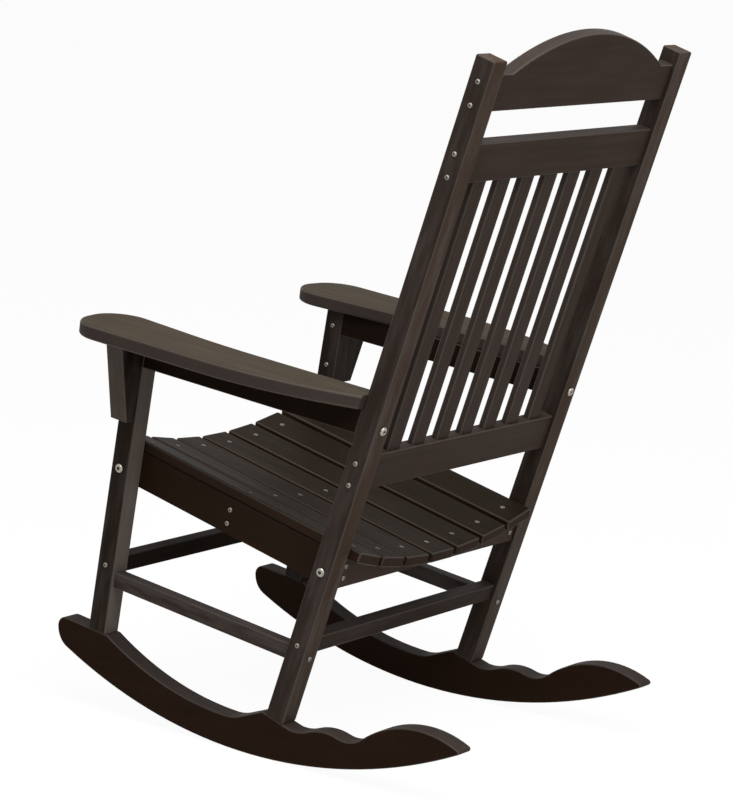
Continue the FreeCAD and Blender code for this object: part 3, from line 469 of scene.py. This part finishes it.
# How far each fastener is turned beyond the one before it, in radians
SPIN = 2.4


def solids_of(name):
    """The points of each separate solid of a node."""
    mesh = bmesh.new()
    mesh.from_mesh(cad[name].data)
    bmesh.ops.remove_doubles(mesh, verts=mesh.verts, dist=0.001 * MM)
    seen = set()
    solids = []
    for first in mesh.verts:
        if first in seen:
            continue
        island = [first]
        seen.add(first)
        for vertex in island:
            for edge in vertex.link_edges:
                other = edge.other_vert(vertex)
                if other not in seen:
                    seen.add(other)
                    island.append(other)
        solids.append(np.array([vertex.co for vertex in island]))
    mesh.free()
    return solids


def measured(points):
    """A fastener's place (the middle of its head's underside), its outward axis and sizes."""
    middle = points.mean(0)
    axis = np.linalg.eigh(np.cov((points - middle).T))[1][:, -1]
    along = (points - middle) @ axis
    away = np.linalg.norm(points - middle - np.outer(along, axis), axis=1)
    # The rim is where the head is widest, and it tells which way the head looks
    on_rim = away > 0.97 * away.max()
    if along[on_rim].mean() < 0:
        axis, along = -axis, -along
    under = along[on_rim].min()
    on_shank = along < under - 1 * MM
    return {"place": Vector(middle + under * axis), "axis": Vector(axis), "head": float(away.max()),
            "tall": float(along.max() - under), "long": float(under - along.min()),
            "shank": float(away[on_shank].max())}


def step_in(mesh, cap, inwards=0.0, upwards=0.0):
    """Insets a cap and lifts it. The cap stays the same face."""
    bmesh.ops.inset_region(mesh, faces=[cap], thickness=inwards, depth=upwards,
                           use_even_offset=False)


def next_ring(mesh, cap, radius, level):
    """Insets a cap, and moves it to this radius and height."""
    step_in(mesh, cap)
    for vertex in cap.verts:
        vertex.co.xy = vertex.co.xy.normalized() * radius
        vertex.co.z = level


def flatten_ring(cap, flats, half):
    """Moves a cap's points onto a polygon with this many flats, half as wide as given."""
    part = 2 * math.pi / flats
    for vertex in cap.verts:
        angle = math.atan2(vertex.co.y, vertex.co.x)
        reach = half / math.cos((angle + part / 2) % part - part / 2)
        vertex.co.xy *= reach / vertex.co.xy.length


def turned_fastener(size, flats, socket_share, flush):
    """A head with a rounded rim, a domed or flat top and a drive socket, on a pointed shank."""
    mesh = bmesh.new()
    head, tall, shank = size["head"], size["tall"], size["shank"]
    straight = size["long"] - shank
    made = bmesh.ops.create_circle(mesh, cap_ends=True, radius=head * UNDERSIDE_SHARE,
                                   segments=HEAD_SEGMENTS)
    underside = made["verts"][0].link_faces[0]
    if underside.normal.z < 0:
        underside.normal_flip()
    made = bmesh.ops.extrude_face_region(mesh, geom=[underside])
    cap = [part for part in made["geom"] if isinstance(part, bmesh.types.BMFace)][0]
    bmesh.ops.translate(mesh, vec=(0, 0, tall * UNDERSIDE_LIFT), verts=cap.verts)
    for reach, level in FLUSH_HEAD if flush else DOMED_HEAD:
        next_ring(mesh, cap, head * reach, tall * level)
    socket = head * socket_share
    next_ring(mesh, cap, socket * SOCKET_MOUTH[0], tall * SOCKET_MOUTH[1])
    for reach, level in SOCKET_RINGS:
        next_ring(mesh, cap, socket * reach, tall * level)
        flatten_ring(cap, flats, socket * reach)

    made = bmesh.ops.create_cone(mesh, cap_ends=True, segments=SHANK_SEGMENTS, radius1=shank,
                                 radius2=shank, depth=straight)
    bmesh.ops.translate(mesh, vec=(0, 0, -straight / 2), verts=made["verts"])
    tip = min(mesh.faces, key=lambda face: face.calc_center_median().z)
    step_in(mesh, tip, inwards=shank * TIP_SHARE, upwards=shank)
    bmesh.ops.recalc_face_normals(mesh, faces=mesh.faces)
    # The faces inside the socket take the second material, dark steel with the socket's shade
    # painted in
    for face in mesh.faces:
        middle = face.calc_center_median()
        if middle.z > 0.1 * tall and middle.xy.length < 0.99 * socket:
            face.material_index = 1
    return mesh


def make_fasteners(name):
    """One piece with every screw or bolt of a node, each in its own place."""
    kind = KINDS.get(name, PLAIN_SCREW)
    whole = bmesh.new()
    for number, points in enumerate(solids_of(name)):
        size = measured(points)
        mesh = turned_fastener(size, *kind)
        turn = UP.rotation_difference(size["axis"]).to_matrix().to_4x4()
        spin = Matrix.Rotation(SPIN * number, 4, "Z")
        bmesh.ops.transform(mesh, matrix=Matrix.Translation(size["place"]) @ turn @ spin,
                            verts=mesh.verts)
        part = bpy.data.meshes.new("one_fastener")
        mesh.to_mesh(part)
        mesh.free()
        whole.from_mesh(part)
        bpy.data.meshes.remove(part)
    data = bpy.data.meshes.new(name + "_turned")
    whole.to_mesh(data)
    whole.free()
    piece = bpy.data.objects.new(name + "_turned", data)
    bpy.context.scene.collection.objects.link(piece)
    data.materials.append(BOLT_STEEL if kind == HEX_BOLT else SCREW_STEEL)
    data.materials.append(SOCKET_PAINTED_SHADE_STEEL)
    for face in data.polygons:
        face.use_smooth = True
    data.set_sharp_from_angle(angle=SHARP_ANGLE)
    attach(piece, "root")
    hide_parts(name)


for name in sorted(cad):
    if name.endswith(("screws", "bolts")):
        make_fasteners(name)


# Floor, light and camera, in metres
FLOOR_HALF = 30
FLOOR_WHITE = (0.9, 0.9, 0.9)
FLOOR_ROUGH = 0.9
FLOOR_GLOW = 0.95
AMBIENT = 0.38
CHAIR_MIDDLE = Vector((0, 0, 0.6))


def seen_directly(tree):
    """1 on rays from the camera, from a reflection or through glass, and 0 on other rays."""
    light_path = tree.nodes.new("ShaderNodeLightPath").outputs
    seen = calc(tree, "MAXIMUM", light_path["Is Camera Ray"], light_path["Is Glossy Ray"])
    return calc(tree, "MAXIMUM", seen, light_path["Is Transmission Ray"])


def make_floor():
    """A pale floor that is near white to the camera and keeps the chair's soft shadow."""
    mesh = bmesh.new()
    bmesh.ops.create_grid(mesh, x_segments=1, y_segments=1, size=FLOOR_HALF)
    data = bpy.data.meshes.new("floor")
    mesh.to_mesh(data)
    mesh.free()
    floor = bpy.data.objects.new("floor", data)
    bpy.context.scene.collection.objects.link(floor)
    material, tree, shader = new_material("floor_white")
    shader.inputs["Base Color"].default_value = (*FLOOR_WHITE, 1)
    shader.inputs["Roughness"].default_value = FLOOR_ROUGH
    shader.inputs["Specular IOR Level"].default_value = 0.0
    glow = tree.nodes.new("ShaderNodeEmission")
    glow.inputs["Strength"].default_value = 1.0
    mix = tree.nodes.new("ShaderNodeMixShader")
    tree.links.new(calc(tree, "MULTIPLY", seen_directly(tree), FLOOR_GLOW), mix.inputs["Fac"])
    tree.links.new(shader.outputs[0], mix.inputs[1])
    tree.links.new(glow.outputs[0], mix.inputs[2])
    tree.links.new(mix.outputs[0], tree.nodes["Material Output"].inputs["Surface"])
    data.materials.append(material)


def make_world():
    """White to the camera and in reflections, and a plain soft light on the object."""
    world = bpy.data.worlds.new("studio")
    bpy.context.scene.world = world
    world.use_nodes = True
    tree = world.node_tree
    background = tree.nodes["Background"]
    background.inputs["Color"].default_value = (1, 1, 1, 1)
    strength = calc(tree, "MULTIPLY_ADD", seen_directly(tree), 1 - AMBIENT, AMBIENT)
    tree.links.new(strength, background.inputs["Strength"])


def make_lamp(name, place, size, power):
    """A square softbox that looks at the middle of the chair."""
    lamp = bpy.data.lights.new(name, "AREA")
    lamp.shape = "SQUARE"
    lamp.size = size
    lamp.energy = power
    piece = bpy.data.objects.new(name, lamp)
    bpy.context.scene.collection.objects.link(piece)
    piece.location = place
    piece.rotation_euler = (CHAIR_MIDDLE - Vector(place)).to_track_quat("-Z", "Y").to_euler()


def make_camera():
    """The photograph's camera: its own place and turn, then the chair's roll on its runners."""
    camera = bpy.data.cameras.new("camera")
    camera.sensor_width = SENSOR_MM
    camera.lens = FOCAL_PIXELS / PHOTO_TALL_PIXELS * SENSOR_MM
    camera.clip_end = CAMERA_REACH_METRES
    piece = bpy.data.objects.new("camera", camera)
    bpy.context.scene.collection.objects.link(piece)
    look = (Matrix.Rotation(CAMERA_AZIMUTH, 4, "Z")
            @ Matrix.Rotation(math.pi / 2 - CAMERA_ELEVATION, 4, "X"))
    piece.matrix_world = (Matrix.Translation(CAMERA_PLACE)
                          @ Matrix.Rotation(CHAIR_ROLL, 4, "X") @ look)
    bpy.context.scene.camera = piece


make_floor()
make_world()
make_lamp("top_softbox", place=(1.2, 1.0, 3.6), size=2.6, power=190)
make_lamp("rear_softbox", place=(0.4, 4.2, 2.2), size=2.0, power=55)
make_camera()
bpy.context.scene.view_settings.view_transform = "Standard"
